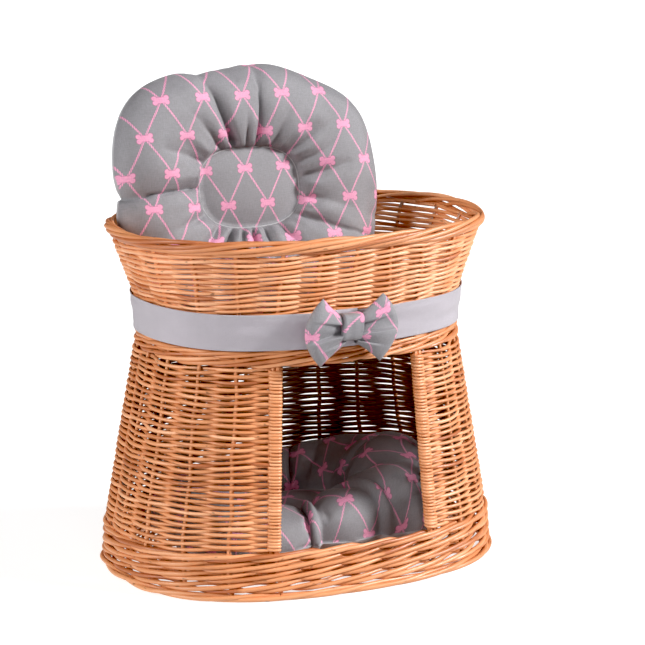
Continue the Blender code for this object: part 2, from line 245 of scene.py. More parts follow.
# ---------------------------------------------------------------- material tools
class Graph:
    """Builds the nodes of one material, or of the world."""

    def __init__(self, owner, shader="Principled BSDF"):
        owner.use_nodes = True
        self.owner, self.tree = owner, owner.node_tree
        self.shader = self.tree.nodes[shader]

    def fill(self, socket, value):
        """Links a socket to another node's output, or sets it to a plain value."""
        if isinstance(value, bpy.types.NodeSocket):
            self.tree.links.new(value, socket)
        else:
            socket.default_value = value

    def node(self, kind, sockets=(), **settings):
        node = self.tree.nodes.new(kind)
        for key, value in settings.items():
            setattr(node, key, value)
        for key, value in dict(sockets).items():
            self.fill(node.inputs[key], value)
        return node

    def attribute(self, name, output="Vector"):
        return self.node("ShaderNodeAttribute", attribute_name=name).outputs[output]

    def parts(self, vector):
        return self.node("ShaderNodeSeparateXYZ", {0: vector}).outputs

    def math(self, operation, *values):
        return self.node("ShaderNodeMath", dict(enumerate(values)), operation=operation).outputs[0]

    def remap(self, value, low, high, first, last, curve="LINEAR"):
        """Turns low to high into first to last."""
        return self.node("ShaderNodeMapRange", {0: value, 1: low, 2: high, 3: first, 4: last},
                         interpolation_type=curve).outputs[0]

    def noise(self, vector, scale, detail=2.0, roughness=0.5):
        """scale is one number, or three where the noise is stretched."""
        if isinstance(scale, tuple):
            vector = self.node("ShaderNodeMapping", {"Vector": vector, "Scale": scale}).outputs[0]
            scale = 1.0
        return self.node("ShaderNodeTexNoise", {"Vector": vector, "Scale": scale, "Detail": detail,
                                                "Roughness": roughness}).outputs["Fac"]

    def ramp(self, factor, stops):
        node = self.node("ShaderNodeValToRGB", {"Fac": factor})
        elements = node.color_ramp.elements
        while len(elements) < len(stops):
            elements.new(0.5)
        for element, (position, colour) in zip(elements, stops):
            element.position = position
            element.color = (*colour, 1.0)
        return node.outputs["Color"]

    def mix(self, factor, a, b, blend="MIX"):
        node = self.node("ShaderNodeMix", data_type="RGBA", blend_type=blend)
        for key, kind, value in (("Factor", "VALUE", factor), ("A", "RGBA", a), ("B", "RGBA", b)):
            socket = next(s for s in node.inputs if s.name == key and s.type == kind)
            self.fill(socket, (*value, 1.0) if isinstance(value, tuple) else value)
        return next(s for s in node.outputs if s.type == "RGBA")

    def shaded(self, colour, value):
        grey = self.node("ShaderNodeCombineColor", {0: value, 1: value, 2: value}).outputs[0]
        return self.mix(1.0, colour, grey, "MULTIPLY")

    def bump(self, height, distance, strength):
        node = self.node("ShaderNodeBump", {"Height": height, "Distance": distance,
                                            "Strength": strength})
        self.plug(Normal=node.outputs[0])

    def plug(self, **values):
        """Fills the shader's own sockets; an underscore in a name stands for a space."""
        for name, value in values.items():
            self.fill(self.shader.inputs[name.replace("_", " ")], value)


WILLOW_TONES = ((0.00, (0.45, 0.135, 0.045)), (0.30, (0.64, 0.248, 0.100)),
                (0.65, (0.76, 0.325, 0.145)), (1.00, (0.89, 0.46, 0.25)))
KNOT_BROWN = (0.20, 0.07, 0.025)
# painted shade: the dark brown that the side of each rod facing the inside of the basket goes towards
INNER_SHADE_BROWN = (0.23, 0.178, 0.150)


def willow(name, lightness=1.0, on_rods=True, inner_shade=0.0):
    """Peeled willow: streaks along the grain, a tone for each rod, a few knots, a satin skin.

    The last argument paints shade: how far the side of each rod that faces the inside of the basket goes
    to a dark brown, standing in for the shadow inside the basket.
    """
    graph = Graph(bpy.data.materials.new(name))
    if on_rods:
        grain, tone = graph.attribute("grain"), graph.attribute("tone", "Fac")
    else:
        grain = graph.node("ShaderNodeTexCoord").outputs["Object"]
        tone = graph.noise(grain, 9.0)
    streaks = graph.noise(grain, (60.0, 1500.0, 1500.0), 3.0, 0.6)
    patches = graph.noise(grain, (22.0, 60.0, 60.0))
    knots = graph.noise(grain, (90.0, 260.0, 260.0), 1.0)
    for spots, share in ((patches, 0.55), (streaks, 0.35)):
        tone = graph.math("MULTIPLY_ADD", graph.math("SUBTRACT", spots, 0.5), share, tone)
    colour = graph.ramp(tone, WILLOW_TONES)
    colour = graph.mix(graph.remap(knots, 0.70, 0.78, 0.0, 0.75), colour, KNOT_BROWN)
    colour = graph.mix(1.0, colour, (lightness,) * 3, "MULTIPLY")
    # painted shade: darkens the side of each rod that faces the inside of the basket
    if inner_shade > 0.0:
        painted_shade_mask = graph.remap(graph.parts(grain)[1], 0.0002, 0.0016, 0.0, inner_shade, "SMOOTHSTEP")
        colour = graph.mix(painted_shade_mask, colour, INNER_SHADE_BROWN)
    graph.plug(Base_Color=colour, Roughness=graph.remap(streaks, 0.3, 0.7, 0.34, 0.50),
               Specular_IOR_Level=0.75)
    graph.bump(streaks, 0.00025, 0.6)
    return graph.owner


# ---------------------------------------------------------------- woven side
STAKE_RADIUS = 0.0028
# the upper wall's rods are paler than the lower wall's (0.78 against 0.52): painted light, for the
# brighter light on the upper band
# wall, height from and to, pitch, stakes passed, sides of a rod, radius, slant, press, paleness
WALLS = (("lower", SILL, LINTEL, 0.00384, SIDE_STEPS, 6, 0.00236, 0.0002, 0.84, 0.52),
         ("upper", WAIST, WALL_TOP, 0.00330, STAKES, 8, 0.00226, 0.0008, 0.62, 0.78))
SAMPLES = 8                   # path points in each stake spacing
THICK_AT = 14.0               # stake number at the back left, where the rows' thicker rods lie


def drift(number, z):
    """Slow rise and fall that neighbouring rows share, as hand weaving has."""
    return (0.0011 * np.sin(TAU * (number / 5.3 + z / 0.11))
            + 0.0009 * np.sin(TAU * (number / 2.3 - z / 0.07) + 1.3))


def rod_runs(number, first_thick=1.16, last_thick=0.86, stakes_each=(5, 11), paleness=0.52):
    """Tone and thickness along a row that several tapering rods make up, one after another."""
    tone, thick = np.empty(len(number)), np.empty(len(number))
    start = number[0] - RANDOM.uniform(0, stakes_each[1])
    while start < number[-1]:
        end = start + RANDOM.uniform(*stakes_each)
        inside = (number >= start) & (number <= end)
        tone[inside] = np.clip(RANDOM.normal(paleness, 0.22), 0.0, 1.0)
        thick[inside] = np.interp(number[inside], (start, end), (first_thick, last_thick))
        start = end
    return tone, thick


def all_round(samples):
    """Stake numbers once round the side, with so many to each spacing."""
    return STAKES * np.arange(STAKES * samples) / (STAKES * samples)


def row_wobble(number, size):
    phase = RANDOM.uniform(0, TAU, 3)
    turns = TAU / STAKES
    return size * (np.sin(3 * turns * number + phase[0]) + np.sin(5 * turns * number + phase[1])
                   + 0.8 * np.sin(11 * turns * number + phase[2])) / 2.0


def randing(rods, heights, end, radius, slant, press, paleness):
    """Rows of single rods, each outside one stake and inside the next, pressed a little into them.

    Rows that end at the last stake of all go right round; shorter ones turn back at the door posts.
    """
    closed = end == STAKES
    count = end * SAMPLES
    number = end * np.arange(count + (0 if closed else 1)) / count
    swing = press * (STAKE_RADIUS + radius)
    for row, z in enumerate(heights):
        wave = math.pi * (number + row)
        tone, thick = rod_runs(number, paleness=paleness)
        thick = thick * (1.0 + 0.10 * np.exp(-((number - THICK_AT) / 2.6) ** 2))
        weave = signed(np.cos(wave), 0.8)
        near_post = 1.0 if closed else np.clip(np.minimum(number, end - number) + 0.45, 0.0, 1.0)
        height = z + slant * np.sin(wave) + drift(number, z) * near_post + row_wobble(number, 0.00045)
        path = side_point(number, height, swing * weave * near_post)
        rods.add(path, radius * thick, closed=closed, tone=tone)


def make_walls(*materials):
    for material, row in zip(materials, WALLS):
        wall, bottom, highest, pitch, end, sides, radius, slant, press, paleness = row
        rods = Rods(sides)
        count = round((highest - bottom) / pitch)
        heights = bottom + (np.arange(count) + 0.5) * (highest - bottom) / count
        randing(rods, heights, end, radius, slant, press, paleness)
        rods.piece(f"{wall}_wall_weave", material, "willow_weave", [f"{wall}_wall"])


def make_stakes(material):
    stakes = Rods(8)
    nodes = [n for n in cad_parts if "_stake_" in n]
    for number in range(STAKES):
        bottom = LINTEL + 0.001 if number > SIDE_STEPS else 0.004
        z = np.linspace(bottom, WALL_TOP + 0.004, 60)
        phase = RANDOM.uniform(0, TAU, 2)
        wander = 0.02 * np.sin(z / 0.13 * TAU + phase[0]) + 0.012 * np.sin(z / 0.05 * TAU + phase[1])
        wander[0] = wander[-1] = 0.0
        radius = STAKE_RADIUS * np.interp(z, (0.0, 0.45), (1.10, 0.92))
        before, after = side_point((number - 0.2, number + 0.2), 0.2)
        along = before - after
        stakes.add(side_point(number + wander, z), radius, across=along,
                   tone=np.clip(RANDOM.normal(0.55, 0.15), 0, 1))
    stakes.piece("stakes", material, "willow_rod", nodes)


WALE_STROKE = ((0.00, -0.95), (0.10, -0.75), (0.22, 0.35), (0.34, 1.0), (0.66, 1.0), (0.78, 0.35),
               (0.90, -0.75), (1.00, -0.95))
WALE_RISE = ((0.00, 0.46), (0.10, 0.10), (0.16, 0.02), (0.84, 0.98), (0.90, 0.90), (1.00, 0.46))


def smooth_curve(points, at):
    """Periodic curve through points over one turn, softened by averaging."""
    x, y = np.array(points).T
    return np.mean([np.interp((at + d) % 1.0, x, y) for d in np.linspace(-0.06, 0.06, 7)], axis=0)


def wale(rods, bottom, rise, radius, swing, rows):
    """Rows of three rods: each goes outside two stakes and inside one, rising all the way outside."""
    number = all_round(SAMPLES)
    for row in range(rows):
        for strand in range(3):
            turn = ((number - strand - row) / 3.0) % 1.0
            tone, thick = rod_runs(number, 1.10, 0.90, (6, 12), 0.40)
            z = bottom + row * rise + radius + (rise - 0.2 * radius) * smooth_curve(WALE_RISE, turn)
            z = np.minimum(z, bottom + rows * rise - radius * 0.9)
            z = z + row_wobble(number, 0.0004)
            out = swing * smooth_curve(WALE_STROKE, turn)
            rods.add(side_point(number, z, out), radius * thick, closed=True, tone=tone)


def make_wales(material):
    for part, bottom, highest, rows, radius, swing in (
            ("base", FOOT_TOP - 0.0028, SILL - 0.0020, 4, 0.0029, 0.0056),
            ("waist", LINTEL, WAIST, 2, 0.0026, 0.0037)):
        rods = Rods(8)
        wale(rods, bottom, (highest - bottom) / rows, radius, swing, rows)
        rods.piece(f"{part}_wale_weave", material, "willow_weave", [f"{part}_wale"])


def make_borders(material):
    foot, number = Rods(8), all_round(SAMPLES)
    for strand in range(3):
        angle = TAU * (number / 4.0 + strand / 3.0) + 0.5 * row_wobble(number, 1.0)
        z = 0.5 * FOOT_TOP - 0.0002 + 0.0021 * np.sin(angle)
        out = 0.0042 * np.cos(angle) + 0.0036
        tone, thick = rod_runs(number, 1.06, 0.94, (6, 12))
        foot.add(side_point(number, z, out), 0.0032 * thick, closed=True, tone=tone)
    foot.piece("foot_border_weave", material, "willow_weave", ["foot_border"])

    rim = Rods(8)
    middle, tall, deep, radius = 0.5 * (WALL_TOP + RIM_TOP), 0.0066, 0.0052, 0.0030
    reach = 5.6               # stake spacings that each strand runs along
    part = np.linspace(0.0, 1.0, 50)
    for strand in range(STAKES):
        first = strand + RANDOM.uniform(-0.25, 0.25)
        angle = np.radians(np.interp(part, (0, 0.08, 0.5, 0.92, 1), (-125, -95, 20, 150, 200)))
        angle = angle + RANDOM.uniform(-0.12, 0.12)
        bulge = 1.0 + RANDOM.uniform(-0.06, 0.08)
        sway = 0.0010 * np.sin(TAU * (2.0 * part + RANDOM.uniform()))
        z = middle + tall * np.sin(angle) + sway
        out = deep * bulge * np.cos(angle)
        thick = np.interp(part, (0, 0.1, 0.8, 1), (0.7, 1.08, 0.95, 0.7))
        rim.add(side_point(first + reach * part, z, out), radius * thick,
                tone=np.clip(RANDOM.normal(0.42, 0.24), 0, 1))
    rim.piece("rim_border_weave", material, "willow_weave", ["rim_border"])


def make_door_posts(material):
    """Each post is a stake and a second rod beside it, with the weavers turned round both."""
    for side, post, inward in (("right", 0.0, 1.0), ("left", float(SIDE_STEPS), -1.0)):
        rods = Rods(6)
        z = np.linspace(SILL - 0.003, LINTEL + 0.003, 50)
        step = spacing(0.17)
        for beside in (-0.0036, 0.0036):
            rods.add(side_point(post + (beside + 0.002 * inward) / step, z), 0.0029,
                     across=np.array((0.6, 0.8, 0.0)), tone=0.6)
        turns = int((LINTEL - SILL) / 0.0041)
        turn = np.linspace(0.0, turns, turns * 14 + 1)
        angle = TAU * turn
        half_long, half_deep, radius = 0.0074, 0.0050, 0.00195
        flatten = 2.0 / 2.8
        across = signed(np.cos(angle), flatten) * half_long + 0.002 * inward
        out = signed(np.sin(angle), flatten) * half_deep
        z = np.interp(turn, (0, turns), (SILL + radius * 0.6, LINTEL - radius * 0.4))
        z = z + 0.0003 * np.sin(turn * 1.7)
        tone = 0.62 + 0.22 * np.sin(turn * 0.9) * np.sin(turn * 0.37 + 1)
        number = post + across / np.interp(z, (SILL, LINTEL), (spacing(SILL), spacing(LINTEL)))
        rods.add(side_point(number, z, out), radius * (1 + 0.12 * np.sin(turn * 0.61)), tone=tone)
        rods.piece(f"door_post_wrap_{side}", material, "willow_weave", [f"door_post_binding_{side}"])


# ---------------------------------------------------------------- floors
def make_floor(floor, material, stick_material):
    """Oval rows woven over and under the frame's own sticks."""
    def sticks(way, axis):
        boxes = [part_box(n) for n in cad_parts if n.startswith(f"{floor}_{way}_stick")]
        return sorted(0.5 * (lo[axis] + hi[axis]) for lo, hi in boxes)

    def signed_power(value):
        return math.copysign(abs(value) ** (OVAL_POWER / 2.0), value)

    cross_x, long_y = sticks("cross", 0), sticks("long", 1)
    weave = f"{floor}_weave"
    lowest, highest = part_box(weave)
    middle = 0.5 * (lowest.z + highest.z)
    half_length, half_width = highest.x, highest.y
    radius, swing = 0.0020, 0.0044
    rods = Rods(6)
    pitch = 0.0045
    core = long_y[-1] + 0.004
    rings = int((half_width - core) / pitch)
    for ring in range(rings):
        share = (core + (ring + 0.6) * (half_width - core) / rings) / half_width
        share = min(share, 1.0 - radius / half_width)
        # the innermost rows hug the long sticks and the outermost follow the side
        a, b = half_length * share, half_width * share
        angle = np.linspace(0.0, TAU, 321)[:-1]
        points = oval(angle, a, b)
        crossings = []
        for x in cross_x:
            if abs(x) < a * 0.995:
                t = math.acos(signed_power(x / a))
                crossings += [t, -t]
        for y in long_y:
            if abs(y) < b * 0.995:
                t = math.asin(signed_power(y / b))
                crossings += [t, math.pi - t]
        crossings = np.sort(np.array(crossings) % TAU)
        wrapped = np.concatenate((crossings, [crossings[0] + TAU]))
        index = np.interp((angle - crossings[0]) % TAU + crossings[0], wrapped,
                          np.arange(len(wrapped)))
        z = middle + swing * np.cos(math.pi * (index + ring))
        tone, thick = rod_runs(np.linspace(0, STAKES, len(angle)))
        rods.add(np.column_stack((points, z)), radius * thick, closed=True, tone=tone)
    rows = int(2 * core / pitch)
    reach = half_length * core / half_width
    x = np.linspace(-reach * 0.96, reach * 0.96, 60)
    for row in range(rows):
        y = -core + (row + 0.5) * 2 * core / rows
        if min(abs(y - stick) for stick in long_y) < radius:
            continue
        index = np.interp(x, cross_x, np.arange(len(cross_x)), left=-0.5, right=len(cross_x) - 0.5)
        z = middle + swing * np.cos(math.pi * (index + row))
        tone, thick = rod_runs(np.linspace(0, 8, len(x)))
        rods.add(np.column_stack((x, np.full_like(x, y), z)), radius * thick, tone=tone)
    rods.piece(f"{floor}_rows", material, "willow_weave", [weave])
    for name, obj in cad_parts.items():
        if name.startswith(floor) and "_stick_" in name:
            obj.data.materials.clear()
            obj.data.materials.append(stick_material)


# ---------------------------------------------------------------- fabrics
GREY = (0.262, 0.254, 0.270)
PLAIN_GREY = (0.43, 0.425, 0.445)
SEAM_GREY = (0.50, 0.49, 0.51)
PINK = (0.790, 0.335, 0.500)
TWIST_PINK = (0.42, 0.23, 0.31)    # between a rope's strands
OUTLINE_PINK = (0.55, 0.17, 0.30)  # round a bone
RIBBON = (0.46, 0.425, 0.465)
PRINT_STEP = (0.056, 0.047)        # bones along a row, and from row to row
BONE_BAR = (0.0075, 0.0036)        # half length and half height of the bar
BONE_KNOB = (0.0074, 0.0030, 0.0029)  # place of a knob, and its radius
OUTLINE = 0.0005
ROPE_HALF = 0.0011
THREAD = 0.00062                   # between two threads of the cloth


def finish_cloth(graph, colour, cloth, rough, sheen, slub=0.11):
    """Fine plain weave, uneven threads both ways and soft patches, in the cloth's own coordinates."""
    waves = [graph.math("SINE", graph.math("MULTIPLY", part, TAU / THREAD))
             for part in graph.parts(cloth)[:2]]
    weave = graph.math("MULTIPLY_ADD", graph.math("MULTIPLY", *waves), 0.5, 0.5)
    threads = [graph.noise(cloth, scale, 3.0) for scale in ((130.0, 900.0, 1.0), (900.0, 130.0, 1.0))]
    slubs = graph.math("MULTIPLY", graph.math("ADD", *threads), 0.5)
    patches = graph.noise(cloth, 22.0, 3.0)
    shade = graph.remap(weave, 0.0, 1.0, 0.90, 1.05)
    for spots, low, high, amount in ((slubs, 0.35, 0.65, slub), (patches, 0.3, 0.7, 0.05)):
        shade = graph.math("MULTIPLY", shade, graph.remap(spots, low, high, 1.0 - amount, 1.0 + amount))
    graph.plug(Base_Color=graph.shaded(colour, shade), Roughness=rough, Sheen_Weight=sheen,
               Sheen_Roughness=0.4, Specular_IOR_Level=0.5)
    graph.bump(graph.math("ADD", weave, slubs), 0.00016, 0.7)
    return graph.owner


def printed_cotton(name):
    """Grey satin cotton printed with pink bones where slanting twisted ropes cross."""
    graph = Graph(bpy.data.materials.new(name))
    cloth = graph.attribute("cloth")
    parts = graph.parts(cloth)
    across = graph.math("DIVIDE", parts[0], PRINT_STEP[0])
    upward = graph.math("DIVIDE", parts[1], 2.0 * PRINT_STEP[1])
    # the two slanting families of ropes, and the place of each point between whole ropes
    rising, falling = (graph.math(way, across, upward) for way in ("ADD", "SUBTRACT"))
    off_rising, off_falling = (graph.math("SUBTRACT", value, graph.math("ROUND", value))
                               for value in (rising, falling))
    step = math.hypot(1.0 / PRINT_STEP[0], 0.5 / PRINT_STEP[1])
    ropes, twists = [], []
    for off, other in ((off_rising, falling), (off_falling, rising)):
        distance = graph.math("DIVIDE", graph.math("ABSOLUTE", off), step)
        twist = graph.math("SINE", graph.math("ADD", graph.math("MULTIPLY", other, TAU * 15.0),
                                              graph.math("MULTIPLY", off, TAU * 13.0)))
        width = graph.math("MULTIPLY_ADD", twist, 0.00030, ROPE_HALF)
        ropes.append(graph.math("LESS_THAN", distance, width))
        twists.append(graph.math("MULTIPLY", ropes[-1], graph.math("LESS_THAN", twist, -0.25)))
    # place inside the nearest bone's own cell
    x, y = (graph.math("ABSOLUTE", graph.math("MULTIPLY", size,
                                              graph.math(way, off_rising, off_falling)))
            for way, size in (("ADD", 0.5 * PRINT_STEP[0]), ("SUBTRACT", PRINT_STEP[1])))
    reach = [graph.math("POWER", graph.math("SUBTRACT", value, place), 2.0)
             for value, place in ((x, BONE_KNOB[0]), (y, BONE_KNOB[1]))]
    knob_distance = graph.math("SQRT", graph.math("ADD", *reach))

    def bone(wider):
        bar = graph.math("MULTIPLY", graph.math("LESS_THAN", x, BONE_BAR[0]),
                         graph.math("LESS_THAN", y, BONE_BAR[1] + wider))
        return graph.math("MAXIMUM", bar, graph.math("LESS_THAN", knob_distance, BONE_KNOB[2] + wider))

    colour = graph.mix(graph.math("MAXIMUM", *ropes), GREY, PINK)
    colour = graph.mix(graph.math("MULTIPLY", graph.math("MAXIMUM", *twists), 0.75), colour, TWIST_PINK)
    colour = graph.mix(bone(OUTLINE), colour, OUTLINE_PINK)
    return finish_cloth(graph, graph.mix(bone(0.0), colour, PINK), cloth, 0.44, 0.15)


def plain_cotton(name, tint, rough=0.62, sheen=0.3):
    graph = Graph(bpy.data.materials.new(name))
    return finish_cloth(graph, tint, graph.attribute("cloth"), rough, sheen, 0.03)


# ---------------------------------------------------------------- cushions
def lumps(points, size, amount, seed):
    """Smooth random unevenness."""
    random = np.random.default_rng(seed)
    total = np.zeros(len(points))
    for _ in range(9):
        direction = random.normal(size=points.shape[1])
        direction *= random.uniform(0.6, 1.5) / size / np.linalg.norm(direction)
        total += np.sin(TAU * points @ direction + random.uniform(0, TAU))
    return amount * total / 3.0


def scallops(angle, folds, share):
    """Depth of the folds at each column angle, on the row that is this share of the way out."""
    places = np.radians([f[0] + f[3] * share for f in folds])
    depth = np.array([f[1] * math.exp(-(share / f[2]) ** 2) for f in folds])
    order = np.argsort(places)
    places, depth = places[order], depth[order]
    places = np.concatenate((places[-1:] - TAU, places, places[:1] + TAU))
    depth = np.concatenate((depth[-1:], depth, depth[:1]))
    i = np.clip(np.searchsorted(places, angle, side="right") - 1, 0, len(places) - 2)
    t = (angle - places[i]) / (places[i + 1] - places[i])
    near_first, near_last = np.clip(1 - 2 * t, 0, 1), np.clip(2 * t - 1, 0, 1)
    return depth[i] * near_first ** 2.2 + depth[i + 1] * near_last ** 2.2


def super_radius(angle, half_length, half_width, power):
    """Distance from the middle of a superellipse to its edge in a direction."""
    return (np.abs(np.cos(angle) / half_length) ** power
            + np.abs(np.sin(angle) / half_width) ** power) ** (-1.0 / power)


def edge_from(centre, angle, half_length, half_width, power, taper):
    """Distance from a point inside the outline to the outline, in each direction."""
    near, far = np.zeros_like(angle), np.full_like(angle, 0.5)
    for _ in range(40):
        middle = 0.5 * (near + far)
        x, y = centre[0] + middle * np.cos(angle), centre[1] + middle * np.sin(angle)
        narrowed = half_length * (1.0 - taper * np.clip(-y / half_width, 0, 1) ** 2)
        inside = np.abs(x / narrowed) ** power + np.abs(y / half_width) ** power < 1.0
        near, far = np.where(inside, middle, near), np.where(inside, far, middle)
    return near


COLUMNS = 272
PANEL_ROWS, RING_ROWS = 9, 44
PUFF_STEPS, PUFF_PRESSURE, PUFF_GROWTH, PUFF_CAP = 20, 4.0, 0.04, 0.008


def bulged(values, angle, table):
    """Adds smooth bumps to values round the outline: angle and width in degrees, and size."""
    for at, width, amount in table:
        away = (np.degrees(angle) - at + 180.0) % 360.0 - 180.0
        values = values + amount * np.exp(-(away / width) ** 2)
    return values


def cushion_side(shape, folds, seed, sign):
    """Rows of points from the middle of one side of a cushion out to its edge."""
    angle = np.arange(COLUMNS) * TAU / COLUMNS
    centre = np.array(shape["panel_centre"])
    ray = np.column_stack((np.cos(angle), np.sin(angle)))
    inner = super_radius(angle, *shape["panel_half"], shape["panel_power"])
    outer = edge_from(centre, angle, *shape["half"], shape["power"], shape["taper"])
    outer = (outer * (1.0 + 0.004 * np.sin(5 * angle + 1) + 0.004 * np.sin(9 * angle + 2))
             - 0.55 * scallops(angle, folds, 0.8))
    outer = bulged(outer, angle, shape["outline_lumps"])
    high = bulged(np.zeros(COLUMNS), angle, shape["height_lumps"] if sign > 0 else ())
    thick = shape["front"] if sign > 0 else shape["back"]
    seam, crown, peak = shape["seam"] * thick, shape["crown"] * thick, shape["peak"]
    rows = [np.column_stack((np.tile(centre, (COLUMNS, 1)), np.full(COLUMNS, crown)))]
    for share in np.linspace(0, 1, PANEL_ROWS + 1)[1:]:
        flat = centre + ray * (inner * share)[:, None]
        rise = seam + (crown - seam) * (1.0 - share ** 2.4)
        rows.append(np.column_stack((flat, np.full(COLUMNS, rise))))
    for share in 0.5 - 0.5 * np.cos(np.pi * np.linspace(0, 1, RING_ROWS + 1)[1:]):
        reach = inner + (outer - inner) * share
        if share < peak:
            rise = seam + (thick - seam) * (1.0 - (1.0 - share / peak) ** 2.4) ** 0.62
        else:
            rise = thick * max(0.0, 1.0 - ((share - peak) / (1.0 - peak)) ** 2.5) ** (1.0 / 2.05)
        fade = min(1.0, share / 0.10) ** 0.7 * (1.0 - share ** 6)
        depth = scallops(angle, folds, share) * fade
        bulge = 0.0055 * (1.0 - share) ** 2 * fade * (1.0 - np.clip(depth / 0.006, 0, 1))
        flat = centre + ray * (reach - bulge)[:, None]
        sided = np.column_stack((flat, np.full(COLUMNS, sign)))
        pucker = (0.0012 * np.sin(33 * angle + 2.5 * np.sin(5 * angle + seed)) * math.exp(-share / 0.16)
                  + 0.0009 * np.sin(37 * angle + 2.5 * np.sin(4 * angle + seed))
                  * math.exp((share - 1) / 0.12))
        uneven = lumps(sided, 0.11, 0.0022, seed) + lumps(sided, 0.032, 0.0006, seed + 1) + pucker
        level = np.maximum(rise * (1.0 + high) - depth + uneven * fade, 0.0)
        rows.append(np.column_stack((flat, level if share < 1 else np.zeros(COLUMNS))))
    rows = np.array(rows)
    rows[:, :, 2] *= sign
    return rows


def cloth_coordinates(rows, shape):
    """Flat coordinates: the plan, with part of the extra length over the surface added at right angles
    to the nearest edge."""
    steps = np.linalg.norm(np.diff(rows, axis=0), axis=2)
    over = np.concatenate((np.zeros((1, COLUMNS)), np.cumsum(steps, axis=0)))
    flat = rows[:, :, :2] - rows[0, 0, :2]
    plan = np.linalg.norm(flat, axis=2)
    edge = rows[-1, :, :2]
    slope = signed(edge / shape["half"], shape["power"] - 1.0) / shape["half"]
    slope /= np.linalg.norm(slope, axis=1, keepdims=True)
    cloth = flat + shape["follow"] * (over - plan)[:, :, None] * slope + shape["print_origin"]
    return np.concatenate((cloth, np.zeros_like(plan)[:, :, None]), axis=2)


def puff(obj, pinned):
    """Swells a closed form as cloth under pressure, held along its seams, and keeps the result."""
    start = np.empty(3 * len(obj.data.vertices), np.float32)
    obj.data.vertices.foreach_get("co", start)
    group = obj.vertex_groups.new(name="seams")
    group.add([int(i) for i in pinned], 1.0, "REPLACE")
    cloth = obj.modifiers.new("cloth", "CLOTH")
    for key, value in (("quality", 6), ("mass", 0.15), ("tension_stiffness", 12.0),
                       ("compression_stiffness", 12.0), ("shear_stiffness", 4.0),
                       ("bending_stiffness", 0.05), ("use_pressure", True),
                       ("uniform_pressure_force", PUFF_PRESSURE), ("shrink_min", -PUFF_GROWTH),
                       ("shrink_max", -PUFF_GROWTH), ("vertex_group_mass", "seams")):
        setattr(cloth.settings, key, value)
    cloth.settings.effector_weights.gravity = 0.0
    cloth.point_cache.frame_start, cloth.point_cache.frame_end = 1, PUFF_STEPS
    scene = bpy.context.scene
    for number in range(1, PUFF_STEPS + 1):
        scene.frame_set(number)
    evaluated = obj.evaluated_get(bpy.context.evaluated_depsgraph_get())
    swollen = np.empty_like(start)
    evaluated.data.vertices.foreach_get("co", swollen)
    obj.modifiers.remove(cloth)
    obj.vertex_groups.clear()
    scene.frame_set(1)
    move = (swollen - start).reshape(-1, 3)
    size = np.linalg.norm(move, axis=1, keepdims=True)
    move = move * PUFF_CAP * np.tanh(size / PUFF_CAP) / np.maximum(size, 1e-9)
    obj.data.vertices.foreach_set("co", start + move.astype(np.float32).ravel())
    obj.data.update()


def make_cushion(name, shape, axes, materials, body, nodes):
    """A cushion with a smooth sewn panel in the middle of a puffy, gathered ring."""
    place, right, up, out = axes

    def placed(local):
        return place + local[:, :1] * right + local[:, 1:2] * up + local[:, 2:] * out

    local, cloth, faces, kinds, seams = [], [], [], [], []
    count = 0
    for side, (sign, seed, fold_depth) in enumerate(((1.0, 21, 1.0), (-1.0, 55, shape["back_folds"]))):
        folds = [(at, fold_depth * depth, reach, turn) for at, depth, reach, turn in shape["folds"]]
        rows = cushion_side(shape, folds, seed + shape["seed"], sign)
        own_rows = len(rows) - side         # the back ends at the front's edge
        for kept, grid in ((local, rows), (cloth, cloth_coordinates(rows, shape))):
            kept += [grid[0, :1], grid[1:own_rows].reshape(-1, 3)]
        index = count + 1 + np.arange((own_rows - 1) * COLUMNS).reshape(-1, COLUMNS)
        if side:
            index = np.vstack((index, edge))
        else:
            edge = index[-1]
        seams.append(np.append(index[:PANEL_ROWS].ravel(), count))
        fan = np.column_stack((np.full(COLUMNS, count), index[0], np.roll(index[0], -1)))
        new = [joined_quads(index), fan]
        faces += [f[:, ::-1] for f in new] if side else new
        kinds.append(np.full(sum(map(len, new)), side))
        count += 1 + (own_rows - 1) * COLUMNS
    obj = new_mesh_object(name, placed(np.concatenate(local)), faces)
    add_attribute(obj, "cloth", np.concatenate(cloth))
    puff(obj, np.concatenate(seams))
    piece(obj, materials[0], body, nodes)
    obj.data.materials.append(materials[1])
    obj.data.polygons.foreach_set("material_index", np.concatenate(kinds).astype(np.int32))

    angle = np.arange(160) * TAU / 160
    reach = super_radius(angle, *shape["panel_half"], shape["panel_power"])
    ring = np.column_stack((np.cos(angle), np.sin(angle))) * reach[:, None] + shape["panel_centre"]
    height = shape["seam"] * shape["front"] + 0.0003
    seam = Rods(6)
    seam.add(placed(np.column_stack((ring, np.full(160, height)))), 0.0007, across=out,
             closed=True, tone=0.5)
    line = new_mesh_object(f"{name}_panel_seam", np.concatenate(seam.points), seam.quads)
    add_attribute(line, "cloth", np.concatenate(seam.grains))
    piece(line, materials[2], body)


def centre_of(nodes):
    boxes = np.array([[corner[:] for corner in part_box(n)] for n in nodes])
    return 0.5 * (boxes[:, 0].min(axis=0) + boxes[:, 1].max(axis=0))


